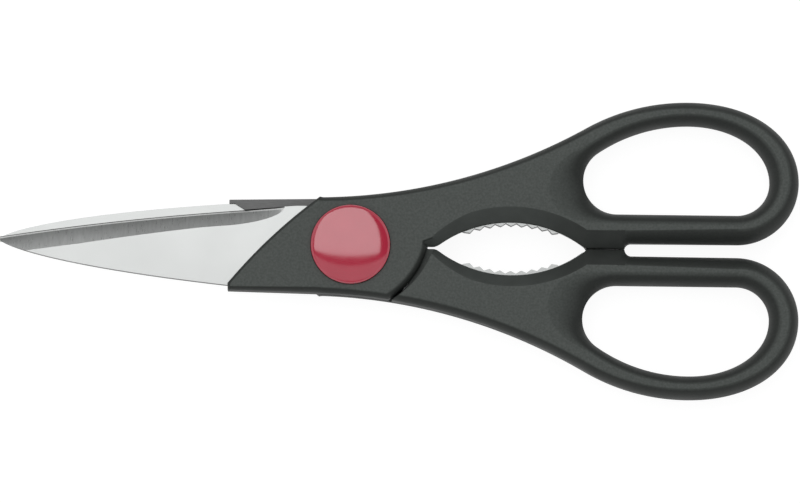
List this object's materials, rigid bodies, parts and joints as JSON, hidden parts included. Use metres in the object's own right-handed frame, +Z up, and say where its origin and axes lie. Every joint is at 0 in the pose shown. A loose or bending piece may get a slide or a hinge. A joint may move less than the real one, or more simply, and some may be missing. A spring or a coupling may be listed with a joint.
{
  "type": "household shears",
  "caption": "Multi-purpose shears with overmoulded finger loops, a toothed bottle grip between the arms and a domed pivot cap.",
  "frame": {"origin": "under the middle of the closed shears, on the table they lie on", "axes": "+X from the points to the finger loops, +Y across to the front half's loop, +Z up through the pivot cap"},
  "size_m": [0.2, 0.075, 0.0129],
  "materials": {
    "blade_steel": "satin ground stainless steel",
    "handle_plastic": "fine spark-eroded grain",
    "cap_plastic": "polished",
    "pivot_steel": "plated, turned"
  },
  "bodies": {
    "rear_half": {"rear_blade": "blade_steel", "rear_handle": "handle_plastic", "pivot_screw": "pivot_steel", "spring_washer": "pivot_steel", "pivot_nut": "pivot_steel"},
    "front_half": {"front_blade": "blade_steel", "front_handle": "handle_plastic", "pivot_cap": "cap_plastic"}
  },
  "joints": [
    {"name": "blade_pivot", "type": "hinge", "parent": "rear_half", "child": "front_half", "pos_m": [-0.0121, 0, 0.0055], "axis": [0, 0, 1], "range_deg": [0, 75]}
  ]
}
